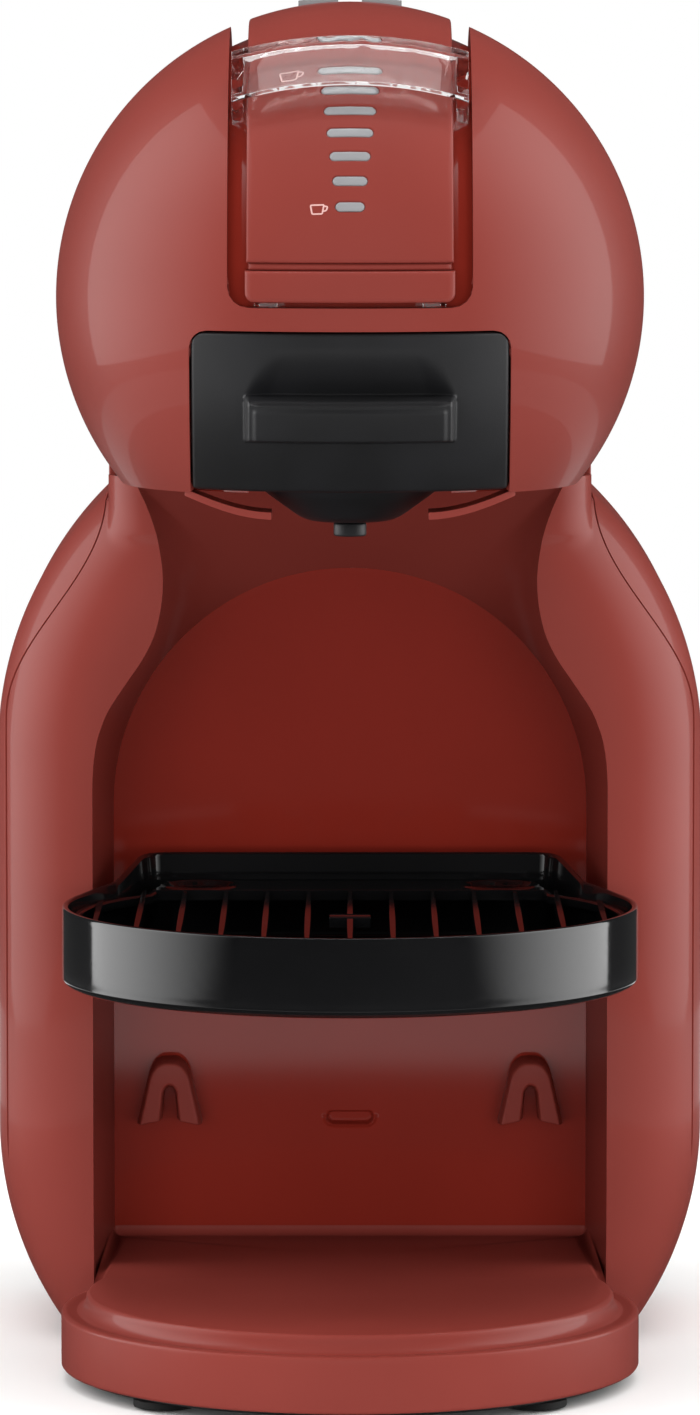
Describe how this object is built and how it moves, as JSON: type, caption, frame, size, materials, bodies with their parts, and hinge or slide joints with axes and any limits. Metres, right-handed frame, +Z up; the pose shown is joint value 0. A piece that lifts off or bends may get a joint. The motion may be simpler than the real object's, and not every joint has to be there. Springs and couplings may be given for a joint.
{
  "type": "pod coffee machine",
  "caption": "Small pod coffee machine with a ball head, clear locking handle, pod drawer, cup niche, hanging drip tray, round base and rear water tank.",
  "frame": {"origin": "centre of the bounding box at the height the feet stand on", "axes": "+X to the right seen from the front, front faces -Y, +Z up"},
  "size_m": [0.16, 0.2348, 0.3041],
  "materials": {
    "red_shell": "gloss",
    "black_satin": "satin",
    "black_gloss": "gloss",
    "grey_plastic": "satin",
    "clear_handle": "clear",
    "clear_tank": "clear",
    "rubber": "matt",
    "steel": "brushed",
    "aluminium": "cast",
    "copper_coil": "wound wire",
    "board": "solder mask",
    "silicone": "matt"
  },
  "bodies": {
    "machine": {"base_housing": "red_shell", "base_plate": "black_satin", "feet": "rubber", "front_shell": "red_shell", "rear_shell": "red_shell", "head_shell": "red_shell", "control_panel": "red_shell", "panel_trim": "red_shell", "panel_lip": "red_shell", "lip_clips": "clear_handle", "level_bars": "grey_plastic", "key_switches": "black_satin", "selector_axle": "steel", "selector_bracket": "black_satin", "drawer_guide": "black_satin", "tray_hooks": "red_shell", "tank_dock": "black_satin", "pump_tube": "black_satin", "pump_coil": "copper_coil", "pump_mounts": "rubber", "thermoblock": "aluminium", "heater_rod": "steel", "thermostat": "black_satin", "flow_meter": "black_satin", "suction_tube": "silicone", "pressure_tube": "silicone", "delivery_tube": "silicone", "inner_chassis": "black_satin", "control_board": "board", "led_board": "board", "power_ring": "black_satin", "cord_gland": "black_satin", "shell_screws": "steel"},
    "handle": {"locking_handle": "clear_handle", "handle_axle": "steel", "handle_cams": "black_satin"},
    "injector": {"injector_carriage": "black_satin", "piercing_needle": "steel", "injector_seal": "rubber"},
    "drawer": {"drawer_face": "black_satin", "pod_drawer": "black_satin", "pod_bowl": "black_satin", "outlet_nozzle": "black_satin"},
    "tray": {"drip_tray": "black_gloss"},
    "grid": {"drip_grid": "black_gloss"},
    "tank": {"water_tank": "clear_tank", "lid_pin": "steel", "valve_seal": "rubber"},
    "lid": {"tank_lid": "black_satin"},
    "poppet": {"valve_poppet": "grey_plastic"},
    "hot_button": {"hot_key": "grey_plastic"},
    "cold_button": {"cold_key": "grey_plastic"},
    "power": {"power_button": "grey_plastic"},
    "selector": {"selector_wheel": "black_satin"},
    "piston": {"pump_piston": "steel"},
    "rotor": {"flow_rotor": "grey_plastic"}
  },
  "joints": [
    {"name": "handle_hinge", "type": "hinge", "parent": "machine", "child": "handle", "pos_m": [0, -0.035, 0.238], "axis": [-1, 0, 0], "range_deg": [0, 60]},
    {"name": "injector_lift", "type": "slide", "parent": "machine", "child": "injector", "axis": [0, 0, 1], "range_m": [0, 0.008]},
    {"name": "drawer_slide", "type": "slide", "parent": "machine", "child": "drawer", "axis": [0, -1, 0], "range_m": [0, 0.072]},
    {"name": "tray_lift", "type": "slide", "parent": "machine", "child": "tray", "axis": [0, 0, 1], "range_m": [0, 0.02]},
    {"name": "grid_lift", "type": "slide", "parent": "tray", "child": "grid", "axis": [0, 0, 1], "range_m": [0, 0.02]},
    {"name": "tank_lift", "type": "slide", "parent": "machine", "child": "tank", "axis": [0, 0, 1], "range_m": [0, 0.1]},
    {"name": "lid_hinge", "type": "hinge", "parent": "tank", "child": "lid", "pos_m": [0, 0.0675, 0.254], "axis": [1, 0, 0], "range_deg": [0, 80]},
    {"name": "poppet_slide", "type": "slide", "parent": "tank", "child": "poppet", "axis": [0, 0, -1], "range_m": [0, 0.002]},
    {"name": "hot_press", "type": "slide", "parent": "machine", "child": "hot_button", "axis": [0, -0.1219, -0.9925], "range_m": [0, 0.001], "stiffness_N_per_m": 800, "springref_m": -0.0005},
    {"name": "cold_press", "type": "slide", "parent": "machine", "child": "cold_button", "axis": [0, -0.1219, -0.9925], "range_m": [0, 0.001], "stiffness_N_per_m": 800, "springref_m": -0.0005},
    {"name": "power_press", "type": "slide", "parent": "machine", "child": "power", "axis": [0, -1, 0], "range_m": [0, 0.0018], "stiffness_N_per_m": 600, "springref_m": -0.0005},
    {"name": "selector_spin", "type": "hinge", "parent": "machine", "child": "selector", "pos_m": [0, -0.01374, 0.28808], "axis": [1, 0, 0], "continuous": true},
    {"name": "piston_stroke", "type": "slide", "parent": "machine", "child": "piston", "axis": [0, 0, 1], "range_m": [-0.003, 0.003], "stiffness_N_per_m": 2000},
    {"name": "rotor_spin", "type": "hinge", "parent": "machine", "child": "rotor", "pos_m": [-0.028, 0.045, 0.024], "axis": [0, 1, 0], "continuous": true}
  ],
  "couplings": [
    {"joint": "poppet_slide", "follows": "tank_lift", "ratio": 0.02},
    {"joint": "injector_lift", "follows": "handle_hinge", "m_per_rad": 0.0076394}
  ]
}
